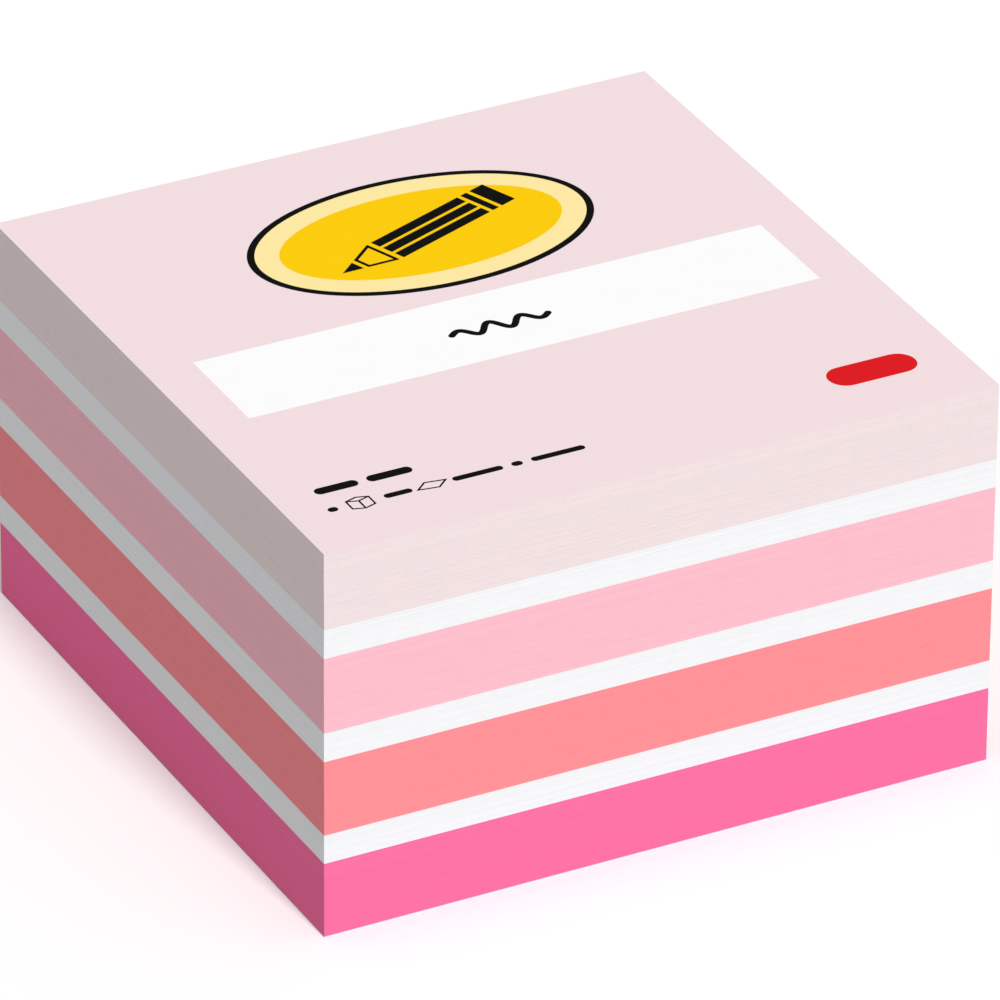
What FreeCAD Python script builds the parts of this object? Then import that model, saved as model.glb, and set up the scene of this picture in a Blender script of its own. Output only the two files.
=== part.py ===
import FreeCAD, Part
import os
import Sketcher

# A sticky note pad: seven blocks of square notes in five colours, stacked into a cube. Each note holds
# to the next by a strip of adhesive on its back, a coating too thin to be a solid.
# Millimetres. +Z is up, -Y faces the reader, the notes are bound along +Y. The origin is the centre
# of the base.

SIZES = {
    "note_width": 76.0,  # along X
    "note_depth": 76.0,  # along Y
    "coloured_paper": 0.095,  # thickness of one coloured note
    "white_paper": 0.11,  # thickness of one white note
    "cover_paper": 0.095,  # thickness of the printed cover
    "backing_paper": 0.1,  # thickness of the release sheet under the last note
    "coloured_notes": 90,  # in each coloured block
    "white_notes": 30,  # in each white block
    "edge_bevel": 0.015,  # what the guillotine takes off each edge of a sheet
}

# From the bottom up: each block's name, its paper and its number of notes
BLOCKS = [
    ("hot_pink_notes", "coloured_paper", "coloured_notes"),
    ("lower_white_notes", "white_paper", "white_notes"),
    ("coral_notes", "coloured_paper", "coloured_notes"),
    ("middle_white_notes", "white_paper", "white_notes"),
    ("pink_notes", "coloured_paper", "coloured_notes"),
    ("upper_white_notes", "white_paper", "white_notes"),
    ("pale_pink_notes", "coloured_paper", "coloured_notes"),
]

# How a sketch's constraints name a line's two ends and the sketch's origin
START, END = 1, 2
ORIGIN = -1


def make_sizes(doc):
    """Write the driving dimensions into the sheet, one alias to a cell."""
    sheet = doc.addObject("Spreadsheet::Sheet", "Sizes")
    for row, (alias, value) in enumerate(SIZES.items(), 1):
        sheet.set("A%d" % row, alias)
        sheet.set("B%d" % row, str(value))
        sheet.setAlias("B%d" % row, alias)
    doc.recompute()


def origin_feature(body, role):
    """The body's own origin plane or axis of that role."""
    return next(feature for feature in body.Origin.OriginFeatures if feature.Role == role)


def note_outline(body):
    """Sketch a note's rectangle, centred on the body's origin."""
    sketch = body.newObject("Sketcher::SketchObject", body.Name + "_outline")
    sketch.AttachmentSupport = [(origin_feature(body, "XY_Plane"), "")]
    sketch.MapMode = "FlatFace"

    x = SIZES["note_width"] / 2
    y = SIZES["note_depth"] / 2
    corners = [FreeCAD.Vector(*place) for place in ((-x, -y), (x, -y), (x, y), (-x, y))]
    front, right, back, left = range(len(corners))
    for side, corner in enumerate(corners):
        following = (side + 1) % len(corners)
        sketch.addGeometry(Part.LineSegment(corner, corners[following]), False)
    for side in (front, right, back, left):
        following = (side + 1) % len(corners)
        sketch.addConstraint(Sketcher.Constraint("Coincident", side, END, following, START))
    for side in (front, back):
        sketch.addConstraint(Sketcher.Constraint("Horizontal", side))
    for side in (right, left):
        sketch.addConstraint(Sketcher.Constraint("Vertical", side))
    sketch.addConstraint(Sketcher.Constraint("Symmetric", front, START, back, START, ORIGIN, START))

    width = Sketcher.Constraint("DistanceX", front, START, front, END, SIZES["note_width"])
    depth = Sketcher.Constraint("DistanceY", right, START, right, END, SIZES["note_depth"])
    for name, constraint in (("width", width), ("depth", depth)):
        sketch.renameConstraint(sketch.addConstraint(constraint), name)
        sketch.setExpression("Constraints." + name, "Sizes.note_" + name)
    return sketch


def level_edges(shape):
    """The names of the edges that lie level: those round a sheet's top and bottom."""
    return [
        "Edge%d" % number
        for number, edge in enumerate(shape.Edges, 1)
        if edge.BoundBox.ZLength < edge.Length / 2
    ]


def add_sheet(doc, name, paper):
    """Make a body of one sheet: its outline padded by the paper, with its edges bevelled."""
    body = doc.addObject("PartDesign::Body", name)
    body.Label = name

    pad = body.newObject("PartDesign::Pad", name + "_sheet")
    pad.Profile = note_outline(body)
    pad.setExpression("Length", "Sizes." + paper)
    doc.recompute()

    bevel = body.newObject("PartDesign::Chamfer", name + "_bevel")
    bevel.Base = (pad, level_edges(pad.Shape))
    bevel.setExpression("Size", "Sizes.edge_bevel")
    body.Tip = bevel
    doc.recompute()
    return body


def add_block(doc, name, paper, notes):
    """Make a body of one block: its lowest note, repeated upwards one paper thickness apart."""
    body = add_sheet(doc, name, paper)
    pad = doc.getObject(name + "_sheet")
    bevel = doc.getObject(name + "_bevel")

    stack = body.newObject("PartDesign::LinearPattern", name + "_stack")
    stack.Originals = [pad, bevel]
    stack.Direction = (origin_feature(body, "Z_Axis"), [""])
    stack.Mode = "Spacing"
    stack.setExpression("Offset", "Sizes." + paper)
    stack.setExpression("Occurrences", "round(Sizes." + notes + ")")
    body.Tip = stack
    doc.recompute()
    return body


def make_pad(doc):
    """Make every piece from the bottom up, each seated on the one below it."""
    backing = add_sheet(doc, "backing_sheet", "backing_paper")
    pieces = [backing]
    top = "Sizes.backing_paper * 1mm"
    for name, paper, notes in BLOCKS:
        block = add_block(doc, name, paper, notes)
        block.setExpression("Placement.Base.z", top)
        top = "%s.Placement.Base.z + round(Sizes.%s) * Sizes.%s * 1mm" % (name, notes, paper)
        pieces.append(block)

    cover = add_sheet(doc, "cover_sheet", "cover_paper")
    cover.setExpression("Placement.Base.z", top)
    pieces.append(cover)
    doc.recompute()
    return pieces


def check(doc, pieces):
    """Stop if a feature failed or a piece isn't one sound solid."""
    for feature in doc.Objects:
        if "Invalid" in feature.State or "Error" in feature.State:
            raise RuntimeError("%s failed: %s" % (feature.Name, feature.State))
    for piece in pieces:
        shape = piece.Shape
        if shape.isNull() or not shape.isValid() or len(shape.Solids) != 1:
            raise RuntimeError(piece.Label + " isn't one valid solid")


def export(pieces):
    """Write each piece to a file of its own name."""
    os.makedirs("parts", exist_ok=True)
    for piece in pieces:
        piece.Shape.exportStep("parts/%s.step" % piece.Label)


document = FreeCAD.newDocument("sticky_note_pad")
make_sizes(document)
parts = make_pad(document)
check(document, parts)
export(parts)
for part in parts:
    box = part.Shape.BoundBox
    print("%-20s z %7.3f to %7.3f, %6.0f mm3" % (part.Label, box.ZMin, box.ZMax, part.Shape.Volume))
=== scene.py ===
import math
import random

import bpy
from mathutils import Matrix, Vector, noise
from mathutils.geometry import tessellate_polygon


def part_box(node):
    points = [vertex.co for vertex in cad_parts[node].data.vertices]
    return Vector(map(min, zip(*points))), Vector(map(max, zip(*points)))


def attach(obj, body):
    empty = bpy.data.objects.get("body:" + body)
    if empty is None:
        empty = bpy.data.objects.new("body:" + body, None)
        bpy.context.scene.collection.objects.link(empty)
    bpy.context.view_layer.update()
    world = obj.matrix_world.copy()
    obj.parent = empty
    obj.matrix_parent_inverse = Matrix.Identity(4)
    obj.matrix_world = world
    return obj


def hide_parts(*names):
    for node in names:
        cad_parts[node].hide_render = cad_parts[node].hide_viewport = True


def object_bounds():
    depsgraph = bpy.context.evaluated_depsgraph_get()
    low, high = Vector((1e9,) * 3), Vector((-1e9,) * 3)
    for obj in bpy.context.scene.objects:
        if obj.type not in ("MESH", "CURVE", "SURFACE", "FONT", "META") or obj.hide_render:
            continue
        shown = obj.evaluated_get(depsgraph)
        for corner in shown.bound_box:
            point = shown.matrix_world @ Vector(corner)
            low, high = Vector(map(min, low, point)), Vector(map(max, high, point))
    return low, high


# The looks of a sticky note pad. Metres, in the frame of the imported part: +Z up, -Y towards the reader.
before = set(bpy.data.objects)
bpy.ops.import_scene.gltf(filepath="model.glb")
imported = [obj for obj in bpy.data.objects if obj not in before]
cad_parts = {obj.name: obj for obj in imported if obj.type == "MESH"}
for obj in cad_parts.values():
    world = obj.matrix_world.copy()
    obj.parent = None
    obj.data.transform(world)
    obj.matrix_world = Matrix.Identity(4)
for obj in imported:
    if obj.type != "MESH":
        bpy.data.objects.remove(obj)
cad_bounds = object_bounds()

MM = 0.001

# The camera, fitted to the pad's corners and layers in the photograph, which is 1000 x 1000 pixels
CAMERA_AZIMUTH = math.radians(-27.60)
CAMERA_ELEVATION = math.radians(29.92)
CAMERA_ROLL = math.radians(0.485)
CAMERA_DISTANCE = 1108.1 * MM
CLIP_START, CLIP_END = 0.01, 100.0
AIM_RIGHT, AIM_UP = 1.12 * MM, -0.89 * MM  # how far the aim lies from the pad's middle
FOCAL_PIXELS = 10757.0
FRAME_PIXELS = 1000.0
SENSOR_MM = 36.0

# The light: what the sky gives a surface that sees all of it, and what the sun gives one that faces it
SKY_LIGHT = 0.48
SKY_WHITE = 1.0  # as the camera sees it
SKY_COLOUR = (1.0, 1.0, 1.0, 1.0)
SUN_LIGHT = 0.77
SUN_ELEVATION = math.radians(45)
SUN_SOFTNESS = math.radians(12)
FLOOR_SIDE = 6.0
FLOOR_WHITE = 1.0  # as the camera sees it, too
FLOOR_BOUNCE = 0.45  # as the pad's sides see it

# The notes: paper thicknesses, and how evenly the guillotine left their edges
COLOURED_PAPER = 0.095 * MM
WHITE_PAPER = 0.11 * MM
EDGE_BEVEL = 0.010 * MM
NOTE_SHIFT = 0.003 * MM  # from one note to the next
STACK_DRIFT = 0.020 * MM  # slowly up the stack
DRIFT_HEIGHT = 7.0 * MM
DRIFT_APART = 10.0  # between two sides' drifts in their noise, so that they differ
DRIFT_LEVEL = 0.5  # where that noise is cut
EDGE_WAVE = 0.001 * MM  # along one edge of a note
POINTS_ON_EDGE = 6  # between two corners
OUTWARD = [(0, -1), (1, 0), (0, 1), (-1, 0)]  # from the front, right, back and left edges
SIDES = len(OUTWARD)
SEED = 7

# How a stack's texture map is laid out, as shares of its side
FRONT_ROW, BACK_ROW, LEFT_ROW, RIGHT_ROW = range(SIDES)
SIDE_ROW = 0.22  # the height of a row
ROW_FILL = 0.96  # of a row's height
END_WIDTH, END_DEPTH = 0.45, 0.1  # the two hidden ends, above the rows
TOP_COLUMN, BOTTOM_COLUMN = 0.0, 0.5  # where they start

# The paper's unevenness: clouds per metre, the darkest tone and, where it isn't 1, the lightest
SOFT_CLOUDS = (420.0, 0.988)
FIBRES = (6000.0, 0.984)
BLADE_MARKS = (2600.0, 0.992)  # upright, on a stack's sides
LEVEL_STREAKS = (9000.0, 0.975, 1.010)  # along its notes
DARKEST_NOTE, LIGHTEST_NOTE = 0.970, 1.014
STRETCH = 0.02  # how much coarser marks and streaks are along themselves
CLOUD_DETAIL = 3.0
CLOUD_SPAN = (0.3, 0.7)  # the noise that becomes the lowest and the highest value

# How matt the surfaces are: clouds of roughness per metre, the smoothest and the roughest
PAPER_ROUGHNESS = (1500.0, 0.78, 0.92)
INK_ROUGHNESS = (1500.0, 0.60, 0.78)
PAPER_SPECULAR = 0.25
INK_SPECULAR = 0.02

# The grain that can be felt
GRAIN_SCALE = 9000.0  # bumps per metre
GRAIN_DETAIL = 4.0
GRAIN_STRENGTH = 0.25
PAPER_GRAIN = 0.012 * MM
INK_GRAIN = 0.006 * MM

# Node, the new piece that stands for it, its material slot and its paper
BLOCKS = [
    ("hot_pink_notes", "hot_pink_note_stack", "hot_pink_paper", COLOURED_PAPER),
    ("lower_white_notes", "lower_white_note_stack", "white_paper", WHITE_PAPER),
    ("coral_notes", "coral_note_stack", "coral_paper", COLOURED_PAPER),
    ("middle_white_notes", "middle_white_note_stack", "white_paper", WHITE_PAPER),
    ("pink_notes", "pink_note_stack", "pink_paper", COLOURED_PAPER),
    ("upper_white_notes", "upper_white_note_stack", "white_paper", WHITE_PAPER),
    ("pale_pink_notes", "pale_pink_note_stack", "pale_pink_paper", COLOURED_PAPER),
]

# sRGB, 0 to 255
COLOURS = {
    "cover_paper": (241, 220, 223),
    "pale_pink_paper": (241, 225, 226),
    "white_paper": (245, 246, 248),
    "pink_paper": (251, 192, 204),
    "coral_paper": (252, 147, 153),
    "hot_pink_paper": (249, 115, 165),
    "backing_paper": (240, 238, 232),
    "white_print": (251, 251, 251),
    "yellow_print": (252, 232, 163),
    "gold_print": (251, 203, 9),
    "dark_print": (8, 8, 9),
    "red_print": (220, 28, 34),
}

# The print, in millimetres from the cover's middle, x to the reader's right and y towards the bound edge
BADGE = (0.5, 16.6)
BADGE_RADII = (19.2, 11.8)
BADGE_PARTS = [  # from the lowest film up: piece, slot and how far its edge lies inside the badge's
    ("print_badge_rim", "dark_print", 0.0),
    ("print_badge_ring", "yellow_print", 0.8),
    ("print_badge_middle", "gold_print", 3.4),
]
PENCIL_TURN = math.radians(201)  # from the rubber to the point
PENCIL_WIDTH = 4.6
PENCIL_LENGTH = 24.0
PENCIL_PARTS = {  # from and to, along the pencil from its rubber
    "rubber": (0.0, 2.0),
    "band": (2.5, 3.4),
    "shaft": (3.9, 17.2),
    "wood": (17.8, 21.2),
    "lead": (21.7, PENCIL_LENGTH),
}
PENCIL_GAP = 0.4
SHAFT_FACES = 3  # that are seen from one side

FIELD = (-32.6, 32.6, -10.4, 2.4)  # x from, x to, y from, y to
SCRIBBLE = (-1.2, -4.4)
SCRIBBLE_SIZE = (11.0, 1.9)
SCRIBBLE_WAVES = 3
SCRIBBLE_STROKE = 0.75
WAVE_STEPS = 20  # along one wave

RED_MARK = (23.0, 33.0, -29.6, 3.9)  # x from, x to, y, thickness
UPPER_LINE, LOWER_LINE = -26.7, -30.5
BARS = [  # x from, x to, y, thickness
    (-33.4, -28.6, UPPER_LINE, 1.25),
    (-27.6, -22.6, UPPER_LINE, 1.25),
    (-33.8, -32.7, LOWER_LINE, 0.85),
    (-27.6, -24.5, LOWER_LINE, 0.85),
    (-20.0, -14.4, LOWER_LINE, 0.85),
    (-13.4, -12.2, LOWER_LINE, 0.85),
    (-11.2, -5.2, LOWER_LINE, 0.85),
]
BOX_SIGN = (-30.2, LOWER_LINE)
BOX_HALF_WIDTH = 1.25
BOX_RISE = 0.62 * BOX_HALF_WIDTH  # how much higher its rear corner is drawn than its front one
BOX_HEIGHT = 1.25 * BOX_HALF_WIDTH
SHEET_SIGN = (-22.3, LOWER_LINE)
SHEET_CORNERS = [(-1.7, -0.35), (0.51, -0.7), (1.7, 0.35), (-0.51, 0.7)]  # from the sign's middle
SIGN_LINE = 0.2

INK_FILM = 0.010 * MM
INK_ROOT = 0.002 * MM  # how far the film soaks into the paper
OVAL_POINTS = 144
ROUND_POINTS = 12  # in a half circle


def linear(srgb):
    """An sRGB colour, 0 to 255, as the linear RGB that a shader takes."""
    shares = [value / 255 for value in srgb]
    return [share / 12.92 if share <= 0.04045 else ((share + 0.055) / 1.055) ** 2.4 for share in shares]


def rectangle(x0, x1, y0, y1):
    """The corners of a rectangle between two x and two y values."""
    return [(x0, y0), (x1, y0), (x1, y1), (x0, y1)]


# Materials


def add_node(tree, kind, inputs=None, **settings):
    """Add a shader node; an input is a value or the socket that feeds it."""
    made = tree.nodes.new(kind)
    for name, value in settings.items():
        setattr(made, name, value)
    for key, value in (inputs or {}).items():
        if isinstance(value, bpy.types.NodeSocket):
            tree.links.new(value, made.inputs[key])
        else:
            made.inputs[key].default_value = value
    return made


def new_material(name):
    """An empty node material, its tree and its output node."""
    material = bpy.data.materials.new(name)
    material.use_nodes = True
    material.node_tree.nodes.clear()
    return material, material.node_tree, add_node(material.node_tree, "ShaderNodeOutputMaterial")


def mottled(tree, place, scale, lowest, highest=1.0):
    """A value that wanders between the lowest and the highest, as a socket."""
    cloud = add_node(tree, "ShaderNodeTexNoise", {"Vector": place, "Scale": scale, "Detail": CLOUD_DETAIL})
    spread = add_node(
        tree,
        "ShaderNodeMapRange",
        {
            "Value": cloud.outputs["Fac"],
            "From Min": CLOUD_SPAN[0],
            "From Max": CLOUD_SPAN[1],
            "To Min": lowest,
            "To Max": highest,
        },
    )
    return spread.outputs["Result"]


def product(tree, factors):
    """The product of value sockets."""
    total = factors[0]
    for factor in factors[1:]:
        total = add_node(tree, "ShaderNodeMath", {0: total, 1: factor}, operation="MULTIPLY").outputs[0]
    return total


def stretched(tree, place, x, y, z):
    """The place, scaled along each axis."""
    scaled = add_node(tree, "ShaderNodeVectorMath", {0: place, 1: (x, y, z)}, operation="MULTIPLY")
    return scaled.outputs["Vector"]


def shaded(tree, colour, tone):
    """A colour times a grey tone, as a socket."""
    scaled = add_node(tree, "ShaderNodeVectorMath", {0: colour, "Scale": tone}, operation="SCALE")
    return scaled.outputs["Vector"]


def grained(tree, place, depth):
    """The normal of a surface with fine grain of that depth, as a socket."""
    grain = add_node(
        tree, "ShaderNodeTexNoise", {"Vector": place, "Scale": GRAIN_SCALE, "Detail": GRAIN_DETAIL}
    )
    bump = add_node(
        tree,
        "ShaderNodeBump",
        {"Height": grain.outputs["Fac"], "Strength": GRAIN_STRENGTH, "Distance": depth},
    )
    return bump.outputs["Normal"]


def note_tone(tree, place, base, thickness):
    """A slightly different tone for each note of a stack, counted by its height."""
    height = add_node(tree, "ShaderNodeSeparateXYZ", {0: place}).outputs["Z"]
    lifted = add_node(tree, "ShaderNodeMath", {0: height, 1: base}, operation="SUBTRACT").outputs[0]
    count = add_node(tree, "ShaderNodeMath", {0: lifted, 1: thickness}, operation="DIVIDE").outputs[0]
    number = add_node(tree, "ShaderNodeMath", {0: count}, operation="FLOOR").outputs[0]
    chance = add_node(tree, "ShaderNodeTexWhiteNoise", {"W": number}, noise_dimensions="1D").outputs["Value"]
    tone = add_node(
        tree, "ShaderNodeMapRange", {"Value": chance, "To Min": DARKEST_NOTE, "To Max": LIGHTEST_NOTE}
    )
    return tone.outputs["Result"]


def edge_tones(tree, place, base, thickness):
    """The tones of a stack's cut edges: each note's own, the blade's upright marks and level streaks."""
    return [
        note_tone(tree, place, base, thickness),
        mottled(tree, stretched(tree, place, 1, 1, STRETCH), *BLADE_MARKS),
        mottled(tree, stretched(tree, place, STRETCH, STRETCH, 1), *LEVEL_STREAKS),
    ]


def matt(name, colour, roughness, specular, grain, stack=None):
    """A matt, slightly uneven material. With a stack's base and paper it is that stack's cut edges."""
    material, tree, output = new_material(name)
    place = add_node(tree, "ShaderNodeTexCoord").outputs["Object"]
    tones = [mottled(tree, place, *SOFT_CLOUDS), mottled(tree, place, *FIBRES)]
    if stack:
        tones += edge_tones(tree, place, *stack)
    surface = add_node(
        tree,
        "ShaderNodeBsdfPrincipled",
        {
            "Base Color": shaded(tree, linear(COLOURS[colour]), product(tree, tones)),
            "Roughness": mottled(tree, place, *roughness),
            "Specular IOR Level": specular,
            "Normal": grained(tree, place, grain),
        },
    )
    tree.links.new(surface.outputs[0], output.inputs["Surface"])
    return material


def paper(name, colour, stack=None):
    """Uncoated paper, lying flat or as a stack's cut edges."""
    return matt(name, colour, PAPER_ROUGHNESS, PAPER_SPECULAR, PAPER_GRAIN, stack)


def ink(name, colour):
    """A thin film of printing ink, with the paper's grain in it."""
    return matt(name, colour, INK_ROUGHNESS, INK_SPECULAR, INK_GRAIN)


def seen_directly(tree):
    """1 for what the camera sees straight, in a gloss or through glass, else 0."""
    path = add_node(tree, "ShaderNodeLightPath").outputs
    seen = path["Is Camera Ray"]
    for way in ("Is Glossy Ray", "Is Transmission Ray"):
        seen = add_node(tree, "ShaderNodeMath", {0: seen, 1: path[way]}, operation="MAXIMUM").outputs[0]
    return seen


def floor_material():
    """A matt white floor that sends the pad only part of its light back."""
    material, tree, output = new_material("floor_white")
    tone = add_node(
        tree,
        "ShaderNodeMapRange",
        {"Value": seen_directly(tree), "To Min": FLOOR_BOUNCE, "To Max": FLOOR_WHITE},
    )
    surface = add_node(tree, "ShaderNodeBsdfDiffuse", {"Color": tone.outputs["Result"]})
    tree.links.new(surface.outputs[0], output.inputs["Surface"])
    return material


# Pieces


def add_object(name, points, faces, material):
    """Add a mesh object with one material to the scene."""
    mesh = bpy.data.meshes.new(name)
    mesh.from_pydata(points, [], faces)
    mesh.update()
    mesh.materials.append(material)
    made = bpy.data.objects.new(name, mesh)
    bpy.context.scene.collection.objects.link(made)
    return made


def dress_node(node, material):
    """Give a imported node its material."""
    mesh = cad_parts[node].data
    mesh.materials.clear()
    mesh.materials.append(material)


# The stacks of notes


def edge_offsets(rng, height):
    """How far a note's front, right, back and left edges lie outside the nominal square, and their waves."""
    offsets = []
    for side in range(SIDES):
        drift = noise.noise(Vector((height / DRIFT_HEIGHT, DRIFT_APART * side, DRIFT_LEVEL)))
        offsets.append(rng.gauss(0, NOTE_SHIFT) + STACK_DRIFT * drift)
    waves = [[rng.gauss(0, EDGE_WAVE) for _ in range(POINTS_ON_EDGE)] for _ in range(SIDES)]
    return offsets, waves


def lesser(one, other):
    """The edges that lie inside both of two notes' edges."""
    offsets = [min(pair) for pair in zip(one[0], other[0])]
    waves = [[min(pair) for pair in zip(*sides)] for sides in zip(one[1], other[1])]
    return offsets, waves


def ring(low, high, edges, inset, z):
    """A note's outline at one height, anticlockwise from its front left corner."""
    (front, right, back, left), waves = edges
    x0, x1 = low.x - left + inset, high.x + right - inset
    y0, y1 = low.y - front + inset, high.y + back - inset
    corners = rectangle(x0, x1, y0, y1)
    points = []
    for side, (x, y) in enumerate(corners):
        next_x, next_y = corners[(side + 1) % SIDES]
        out_x, out_y = OUTWARD[side]
        points.append((x, y, z))
        for step, wave in enumerate(waves[side], 1):
            along = step / (POINTS_ON_EDGE + 1)
            point_x = x + along * (next_x - x) + wave * out_x
            point_y = y + along * (next_y - y) + wave * out_y
            points.append((point_x, point_y, z))
    return points


def unwrap_stack(mesh, low, high):
    """Lay the four sides out as rows of the texture map, and the two ends above them."""
    layer = mesh.uv_layers.new(name="OFBake")
    width, depth, height = high - low
    for face in mesh.polygons:
        nx, ny, nz = face.normal
        is_end = len(face.vertices) > 4
        for loop in face.loop_indices:
            x, y, z = mesh.vertices[mesh.loops[loop].vertex_index].co
            across, along, up = (x - low.x) / width, (y - low.y) / depth, (z - low.z) / height
            if is_end:
                column = TOP_COLUMN if nz > 0 else BOTTOM_COLUMN
                uv = (column + across * END_WIDTH, SIDES * SIDE_ROW + along * END_DEPTH)
            elif abs(ny) > abs(nx):
                row = FRONT_ROW if ny < 0 else BACK_ROW
                uv = (across, (row + up * ROW_FILL) * SIDE_ROW)
            else:
                row = LEFT_ROW if nx < 0 else RIGHT_ROW
                uv = (along, (row + up * ROW_FILL) * SIDE_ROW)
            layer.data[loop].uv = uv


def stack_rings(low, high, edges, pitch):
    """A stack's outlines from its base up: each note's edge with its bevels, and a groove above it."""
    rings = [ring(low, high, edges[0], EDGE_BEVEL, low.z)]
    for number, note in enumerate(edges):
        base = low.z + pitch * number
        above = edges[min(number + 1, len(edges) - 1)]
        rings.append(ring(low, high, note, 0.0, base + EDGE_BEVEL))
        rings.append(ring(low, high, note, 0.0, base + pitch - EDGE_BEVEL))
        rings.append(ring(low, high, lesser(note, above), EDGE_BEVEL, base + pitch))
    return rings


def skin(rings):
    """The points and faces that join the rings to a closed body."""
    around = len(rings[0])
    top = (len(rings) - 1) * around
    points = [point for outline in rings for point in outline]
    faces = [tuple(reversed(range(around)))]
    for start in range(0, top, around):
        for step in range(around):
            here, following = start + step, start + (step + 1) % around
            faces.append((here, following, around + following, around + here))
    faces.append(tuple(range(top, top + around)))
    return points, faces


def note_stack(node, name, slot, thickness, rng):
    """Build one block of notes in the place of its node."""
    low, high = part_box(node)
    notes = round((high.z - low.z) / thickness)
    pitch = (high.z - low.z) / notes
    edges = [edge_offsets(rng, low.z + pitch * number) for number in range(notes)]
    points, faces = skin(stack_rings(low, high, edges, pitch))
    piece = add_object(name, points, faces, paper(name + "_edges", slot, (low.z, pitch)))
    unwrap_stack(piece.data, low, high)
    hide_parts(node)
    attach(piece, "root")


# Outlines of the print


def signed_area(loop):
    """A loop's area, positive where it runs anticlockwise."""
    return sum(x0 * y1 - x1 * y0 for (x0, y0), (x1, y1) in zip(loop, loop[1:] + loop[:1])) / 2


def grown(loop, margin):
    """A convex loop with each side moved outwards by the margin."""
    if signed_area(loop) < 0:
        loop = loop[::-1]
    count = len(loop)
    points = []
    for number in range(count):
        before, here, after = (Vector(loop[(number + shift) % count]) for shift in (-1, 0, 1))
        first, second = (here - before).normalized(), (after - here).normalized()
        out_first, out_second = Vector((first.y, -first.x)), Vector((second.y, -second.x))
        corner = (out_first + out_second) / (1 + out_first.dot(out_second))
        points.append(tuple(here + corner * margin))
    return points


def turned(points, angle, x, y):
    """Points turned about the origin, then moved."""
    cosine, sine = math.cos(angle), math.sin(angle)
    return [(x + cosine * px - sine * py, y + sine * px + cosine * py) for px, py in points]


def oval(x, y, radius_x, radius_y):
    """The points of an ellipse."""
    turns = [2 * math.pi * step / OVAL_POINTS for step in range(OVAL_POINTS)]
    return [(x + radius_x * math.cos(turn), y + radius_y * math.sin(turn)) for turn in turns]


def ribbon(centres, width):
    """A line of some width along a row of points, with round ends."""
    half = width / 2
    last = len(centres) - 1
    headings = []
    for number in range(last + 1):
        before = centres[max(number - 1, 0)]
        after = centres[min(number + 1, last)]
        headings.append(math.atan2(after[1] - before[1], after[0] - before[0]))

    def beside(number, turn):
        """The point half a width from a centre, at that turn from the line's own heading."""
        (x, y), angle = centres[number], headings[number] + turn
        return (x + half * math.cos(angle), y + half * math.sin(angle))

    quarter = math.pi / 2
    swing = [math.pi * step / ROUND_POINTS for step in range(1, ROUND_POINTS)]
    right = [beside(number, -quarter) for number in range(last + 1)]
    left = [beside(number, quarter) for number in range(last, -1, -1)]
    far_end = [beside(last, turn - quarter) for turn in swing]
    near_end = [beside(0, turn + quarter) for turn in swing]
    return right + far_end + left + near_end


def level_bar(x_from, x_to, y, thickness):
    """A level bar with round ends, between two x values."""
    return ribbon([(x_from + thickness / 2, y), (x_to - thickness / 2, y)], thickness)


# What the print shows. A shape is an outer loop and its holes, and the pencil is several shapes.


def pencil():
    """A pencil seen from the side: rubber, band, the shaft's faces, sharpened wood and lead."""
    half = PENCIL_WIDTH / 2
    sharpened = PENCIL_PARTS["wood"][0]

    def sides(part, margin=0.0):
        """The corners of a part that narrows towards the point."""
        start, end = (PENCIL_PARTS[part][0] + margin, PENCIL_PARTS[part][1] - margin)
        taper = [half * (PENCIL_LENGTH - x) / (PENCIL_LENGTH - sharpened) for x in (start, end)]
        near, far = (min(half, width) - margin for width in taper)
        return [(start, -near), (end, -far), (end, far), (start, near)]

    start, end = PENCIL_PARTS["shaft"]
    face = (PENCIL_WIDTH - (SHAFT_FACES - 1) * PENCIL_GAP) / SHAFT_FACES
    levels = [-half + number * (face + PENCIL_GAP) for number in range(SHAFT_FACES)]
    shaft = [[rectangle(start, end, level, level + face)] for level in levels]
    lower, _, _, upper = sides("lead")
    lead = [lower, (PENCIL_LENGTH, 0.0), upper]
    wood = [sides("wood"), sides("wood", PENCIL_GAP)]
    shapes = [[sides("rubber")], [sides("band")], *shaft, wood, [lead]]
    centred = [[[(x - PENCIL_LENGTH / 2, y) for x, y in loop] for loop in shape] for shape in shapes]
    return [[turned(loop, PENCIL_TURN, *BADGE) for loop in shape] for shape in centred]


def scribble():
    """A pen's wavy line, fuller in its middle."""
    x, y = SCRIBBLE
    length, height = SCRIBBLE_SIZE
    steps = SCRIBBLE_WAVES * WAVE_STEPS
    centres = []
    for step in range(steps + 1):
        along = step / steps
        fullness = (1 + math.sin(math.pi * along)) / 2
        wave = fullness * height / 2 * math.sin(2 * math.pi * SCRIBBLE_WAVES * along)
        centres.append((x + length * (along - 0.5), y + wave))
    return [ribbon(centres, SCRIBBLE_STROKE)]


def box_sign():
    """A box seen from a corner, drawn in outline: a hexagon with three windows."""
    x, y = BOX_SIGN
    base = y - BOX_HEIGHT / 2
    front = (x, base - BOX_RISE / 2)
    left, right = (x - BOX_HALF_WIDTH, base), (x + BOX_HALF_WIDTH, base)
    top_front, top_left, top_right = [(px, py + BOX_HEIGHT) for px, py in (front, left, right)]
    top_rear = (x, base + BOX_HEIGHT + BOX_RISE / 2)
    windows = [
        [front, top_front, top_left, left],
        [front, right, top_right, top_front],
        [top_front, top_right, top_rear, top_left],
    ]
    outline = [front, right, top_right, top_rear, top_left, left]
    return [grown(outline, SIGN_LINE / 2)] + [grown(window, -SIGN_LINE / 2) for window in windows]


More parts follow.
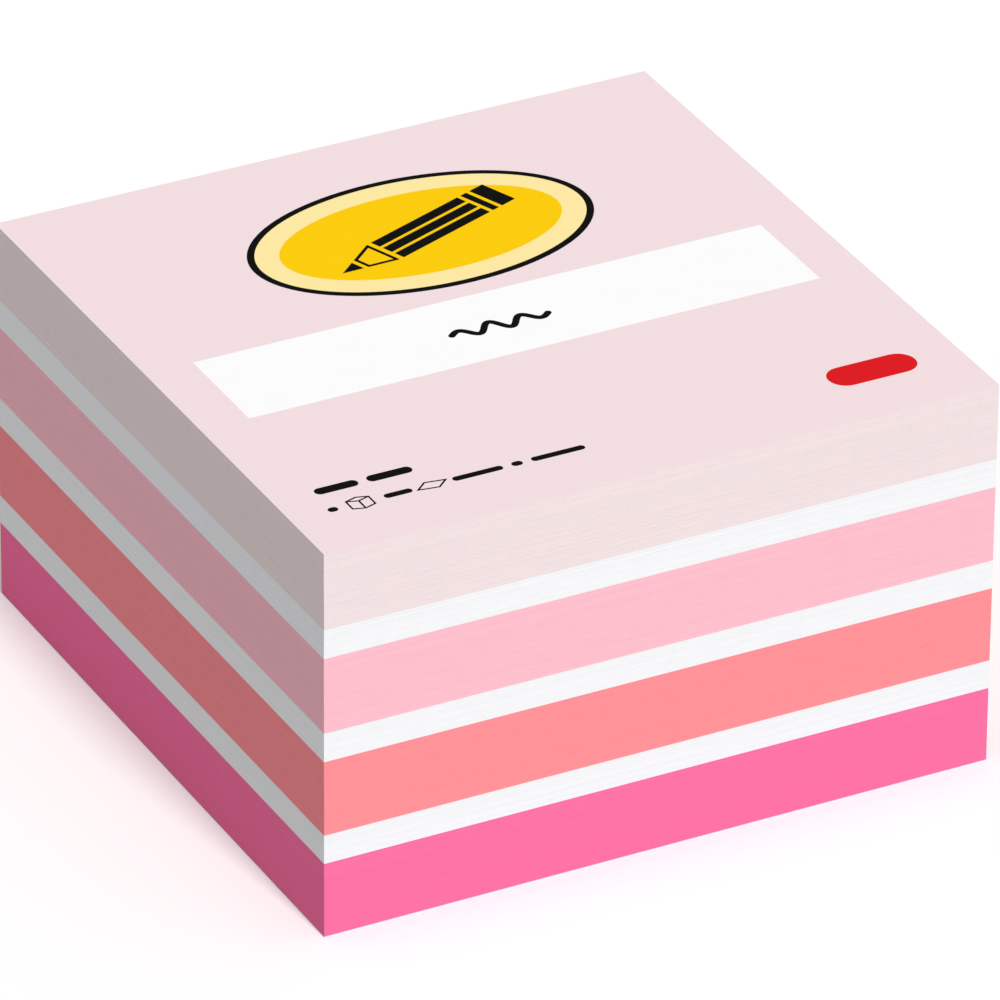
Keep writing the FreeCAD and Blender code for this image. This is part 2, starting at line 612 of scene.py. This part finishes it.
def sheet_sign():
    """A loose sheet lying down, drawn in outline."""
    x, y = SHEET_SIGN
    outline = [(x + px, y + py) for px, py in SHEET_CORNERS]
    return [grown(outline, SIGN_LINE / 2), grown(outline, -SIGN_LINE / 2)]


# The print's films of ink


def wound(shape):
    """A shape's loops, with the outer one running anticlockwise and its holes clockwise."""
    ways = [True] + [False] * (len(shape) - 1)
    return [loop if (signed_area(loop) > 0) == way else loop[::-1] for loop, way in zip(shape, ways)]


def film(shapes, bottom, top, middle):
    """A flat closed film of ink, as points and faces, from shapes in millimetres."""
    points, faces = [], []
    for loops in map(wound, shapes):
        start = len(points)
        flat = [place for loop in loops for place in loop]
        count = len(flat)
        for z in (bottom, top):
            points.extend((middle.x + x * MM, middle.y + y * MM, z) for x, y in flat)
        for a, b, c in tessellate_polygon([[Vector((x, y, 0)) for x, y in loop] for loop in loops]):
            if signed_area([flat[a], flat[b], flat[c]]) < 0:
                b, c = c, b
            faces.append((start + count + a, start + count + b, start + count + c))
            faces.append((start + a, start + c, start + b))
        first = start
        for loop in loops:
            for step in range(len(loop)):
                here, following = first + step, first + (step + 1) % len(loop)
                faces.append((here, following, count + following, count + here))
            first += len(loop)
    return points, faces


def print_film(name, slot, shapes, layer=0):
    """Print shapes on the cover as one piece, above as many films of ink as the layer says."""
    low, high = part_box("cover_sheet")
    points, faces = film(shapes, high.z - INK_ROOT, high.z + INK_FILM * (layer + 1), (low + high) / 2)
    piece = add_object(name, points, faces, ink(name + "_ink", slot))
    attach(piece, "root")


def print_cover():
    """All the print: a round badge with a pencil, a white field with a scribble, signs, bars and a mark."""
    for layer, (name, slot, inset) in enumerate(BADGE_PARTS):
        radii = [radius - inset for radius in BADGE_RADII]
        print_film(name, slot, [[oval(*BADGE, *radii)]], layer)
    print_film("print_pencil", "dark_print", pencil(), len(BADGE_PARTS))
    print_film("print_field", "white_print", [[rectangle(*FIELD)]])
    print_film("print_scribble", "dark_print", [scribble()], 1)
    small = [[level_bar(*bar)] for bar in BARS] + [box_sign(), sheet_sign()]
    print_film("print_small_signs", "dark_print", small)
    print_film("print_red_mark", "red_print", [[level_bar(*RED_MARK)]])


# The stage


def build_camera():
    """A long lens at the photograph's angle."""
    back = Vector(
        (
            math.sin(CAMERA_AZIMUTH) * math.cos(CAMERA_ELEVATION),
            -math.cos(CAMERA_AZIMUTH) * math.cos(CAMERA_ELEVATION),
            math.sin(CAMERA_ELEVATION),
        )
    )
    right = Vector((math.cos(CAMERA_AZIMUTH), math.sin(CAMERA_AZIMUTH), 0))
    up = back.cross(right)
    low, high = (Vector(corner) for corner in cad_bounds)
    aim = (low + high) / 2 + right * AIM_RIGHT + up * AIM_UP
    rolled_right = right * math.cos(CAMERA_ROLL) + up * math.sin(CAMERA_ROLL)
    rolled_up = up * math.cos(CAMERA_ROLL) - right * math.sin(CAMERA_ROLL)

    data = bpy.data.cameras.new("camera")
    data.sensor_width = SENSOR_MM
    data.lens = FOCAL_PIXELS / FRAME_PIXELS * SENSOR_MM
    data.clip_start, data.clip_end = CLIP_START, CLIP_END
    camera = bpy.data.objects.new("camera", data)
    turn = Matrix((rolled_right, rolled_up, back)).transposed().to_4x4()
    camera.matrix_world = Matrix.Translation(aim + back * CAMERA_DISTANCE) @ turn
    bpy.context.scene.collection.objects.link(camera)
    bpy.context.scene.camera = camera


def build_lights():
    """An even sky, white where it is seen, and a soft sun from the reader's side."""
    world = bpy.data.worlds.new("sky")
    world.use_nodes = True
    tree = world.node_tree
    tree.nodes.clear()
    strength = add_node(
        tree, "ShaderNodeMapRange", {"Value": seen_directly(tree), "To Min": SKY_LIGHT, "To Max": SKY_WHITE}
    )
    sky = add_node(
        tree, "ShaderNodeBackground", {"Color": SKY_COLOUR, "Strength": strength.outputs["Result"]}
    )
    output = add_node(tree, "ShaderNodeOutputWorld")
    tree.links.new(sky.outputs[0], output.inputs["Surface"])
    bpy.context.scene.world = world

    data = bpy.data.lights.new("sun", "SUN")
    data.energy = SUN_LIGHT * math.pi
    data.angle = SUN_SOFTNESS
    sun = bpy.data.objects.new("sun", data)
    sun.rotation_euler = (math.pi / 2 - SUN_ELEVATION, 0, 0)
    bpy.context.scene.collection.objects.link(sun)


def build_floor():
    """The surface that the pad rests on."""
    half = FLOOR_SIDE / 2
    corners = [(x, y, 0) for x, y in rectangle(-half, half, -half, half)]
    floor = add_object("floor", corners, [(0, 1, 2, 3)], floor_material())


build_camera()
build_lights()
build_floor()
shuffle = random.Random(SEED)
for block in BLOCKS:
    note_stack(*block, shuffle)
dress_node("cover_sheet", paper("cover_paper", "cover_paper"))
dress_node("backing_sheet", paper("backing_paper", "backing_paper"))
print_cover()
bpy.context.scene.view_settings.view_transform = "Standard"
